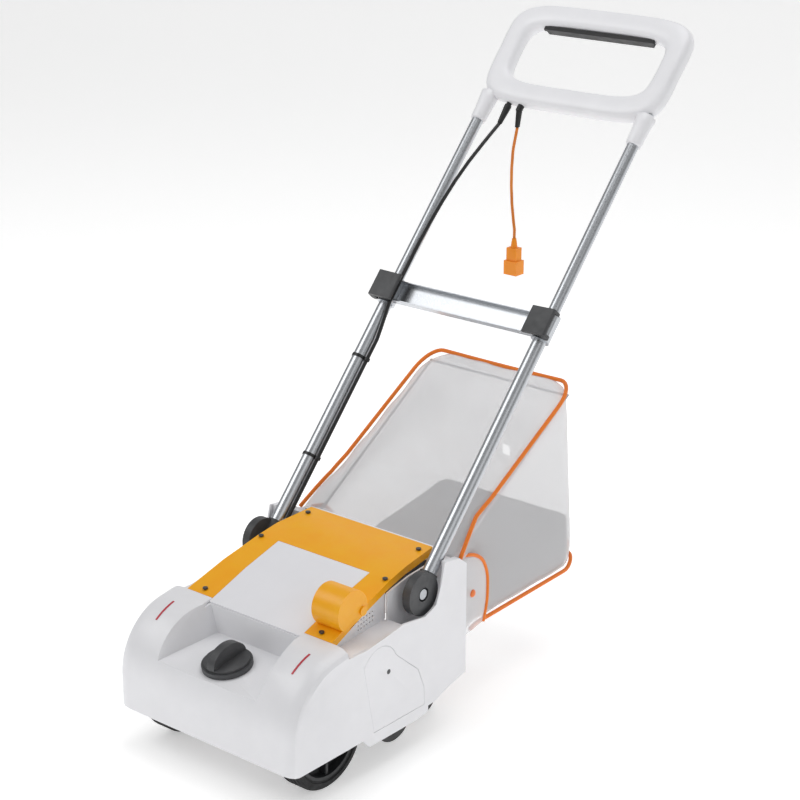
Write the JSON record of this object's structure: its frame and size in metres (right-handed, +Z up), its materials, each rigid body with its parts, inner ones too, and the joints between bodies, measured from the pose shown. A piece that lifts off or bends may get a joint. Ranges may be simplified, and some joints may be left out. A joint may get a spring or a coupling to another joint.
{
  "type": "reel mower",
  "caption": "Electric reel mower with front wheels, rear roller, cutting height dial, folding telescopic handle, squeeze switch bar, short power lead and rear grass bag.",
  "frame": {"origin": "on the ground under the middle of the box round the mower, its power lead left out", "axes": "+Z up, the mower's front faces -Y, the handle leans back to +Y, X across the mower"},
  "size_m": [0.355, 0.9948, 1.0012],
  "materials": {
    "white_plastic": "moulded white, fine satin sheen",
    "panel_white": "fine-grained white",
    "yellow_plastic": "moulded amber yellow",
    "dark_screw": "blackened",
    "red_mark": "red inlay",
    "frame_steel": "grey powder coat",
    "bright_steel": "zinc plated",
    "blade_steel": "ground edge",
    "motor_case": "black",
    "belt_rubber": "ribbed",
    "black_plastic": "fine texture",
    "cable_black": "smooth sheath",
    "roller_plastic": "dull",
    "wheel_plastic": "dull",
    "tyre": "ribbed",
    "grey_plastic": "dark grey, fine grain",
    "tube_metal": "satin anodised",
    "lead_orange": "smooth sheath",
    "connector_orange": "moulded orange",
    "bag_sheet": "translucent coated cloth",
    "bag_binding": "woven orange tape",
    "bag_tray": "dark grey",
    "snap": "orange"
  },
  "bodies": {
    "deck": {"deck_shell": "white_plastic", "motor_cover": "yellow_plastic", "top_panel": "panel_white", "belt_cover": "white_plastic", "cover_screws": "dark_screw", "edge_marks": "red_mark", "left_side_frame": "frame_steel", "right_side_frame": "frame_steel", "tie_rods": "bright_steel", "bed_knife_bar": "frame_steel", "bed_knife": "blade_steel", "reel_bearings": "bright_steel", "motor": "motor_case", "drive_belt": "belt_rubber", "roller_shaft": "bright_steel", "hinge_bolts": "bright_steel"},
    "reel": {"reel_shaft": "bright_steel", "reel_discs": "blade_steel", "reel_blades": "blade_steel", "reel_pulley": "black_plastic"},
    "rotor": {"motor_shaft": "bright_steel", "motor_pulley": "black_plastic"},
    "roller": {"roller_drum": "roller_plastic"},
    "wheel_arm": {"axle_arm": "frame_steel", "wheel_axle": "bright_steel"},
    "left_wheel": {"left_wheel_rim": "wheel_plastic", "left_tyre": "tyre"},
    "right_wheel": {"right_wheel_rim": "wheel_plastic", "right_tyre": "tyre"},
    "dial": {"height_dial": "grey_plastic", "height_cam": "bright_steel"},
    "lower_handle": {"left_hinge_plate": "grey_plastic", "right_hinge_plate": "grey_plastic", "left_lower_tube": "tube_metal", "right_lower_tube": "tube_metal", "crossbar": "tube_metal", "left_clamp": "tube_metal", "right_clamp": "tube_metal", "lower_cable": "cable_black", "cable_clips": "black_plastic"},
    "left_lever": {"left_clamp_lever": "grey_plastic"},
    "right_lever": {"right_clamp_lever": "grey_plastic"},
    "upper_handle": {"left_upper_tube": "tube_metal", "right_upper_tube": "tube_metal", "grip_front_shell": "white_plastic", "grip_rear_shell": "white_plastic", "grip_screws": "dark_screw", "switch_box": "black_plastic", "cord_guards": "cable_black", "upper_cable": "cable_black", "power_lead": "lead_orange", "lead_connector": "connector_orange"},
    "switch": {"switch_lever": "black_plastic"},
    "bag": {"bag_shell": "bag_sheet", "bag_frame": "bright_steel", "bag_piping": "bag_binding", "bag_base": "bag_tray", "snap_buttons": "snap"}
  },
  "joints": [
    {"name": "reel_spin", "type": "hinge", "parent": "deck", "child": "reel", "pos_m": [0, -0.25738, 0.06], "axis": [1, 0, 0], "continuous": true},
    {"name": "motor_spin", "type": "hinge", "parent": "deck", "child": "rotor", "pos_m": [0, -0.34238, 0.186], "axis": [1, 0, 0], "continuous": true},
    {"name": "roller_spin", "type": "hinge", "parent": "deck", "child": "roller", "pos_m": [0, -0.13738, 0.03], "axis": [1, 0, 0], "continuous": true},
    {"name": "wheel_arm_tilt", "type": "hinge", "parent": "deck", "child": "wheel_arm", "pos_m": [0, -0.30738, 0.125], "axis": [1, 0, 0], "range_deg": [-8, 8]},
    {"name": "left_wheel_spin", "type": "hinge", "parent": "wheel_arm", "child": "left_wheel", "pos_m": [-0.136, -0.39838, 0.075], "axis": [1, 0, 0], "continuous": true},
    {"name": "right_wheel_spin", "type": "hinge", "parent": "wheel_arm", "child": "right_wheel", "pos_m": [0.136, -0.39838, 0.075], "axis": [1, 0, 0], "continuous": true},
    {"name": "dial_turn", "type": "hinge", "parent": "deck", "child": "dial", "pos_m": [0, -0.44338, 0.16286], "axis": [0, -0.1611, 0.9869], "range_deg": [-130, 130]},
    {"name": "handle_fold", "type": "hinge", "parent": "deck", "child": "lower_handle", "pos_m": [0, -0.20238, 0.24], "axis": [1, 0, 0], "range_deg": [0, 105]},
    {"name": "handle_slide", "type": "slide", "parent": "lower_handle", "child": "upper_handle", "axis": [0, 0.6691, 0.7431], "range_m": [-0.15, 0], "deforming": ["upper_cable"]},
    {"name": "right_clamp_open", "type": "hinge", "parent": "lower_handle", "child": "right_lever", "pos_m": [0.17, 0.09836, 0.58148], "axis": [0, 0.6691, 0.7431], "range_deg": [0, 80]},
    {"name": "left_clamp_open", "type": "hinge", "parent": "lower_handle", "child": "left_lever", "pos_m": [-0.17, 0.09836, 0.58148], "axis": [0, 0.6691, 0.7431], "range_deg": [-80, 0]},
    {"name": "switch_squeeze", "type": "hinge", "parent": "upper_handle", "child": "switch", "pos_m": [0, 0.45731, 0.96743], "axis": [1, 0, 0], "range_deg": [0, 12], "stiffness_Nm_per_rad": 1, "springref_deg": -11.46},
    {"name": "bag_lift", "type": "slide", "parent": "deck", "child": "bag", "axis": [0, 1, 0], "range_m": [0, 0.15]}
  ],
  "couplings": [
    {"joint": "motor_spin", "follows": "reel_spin", "ratio": 3.3333},
    {"joint": "dial_turn", "follows": "wheel_arm_tilt", "ratio": 16}
  ]
}
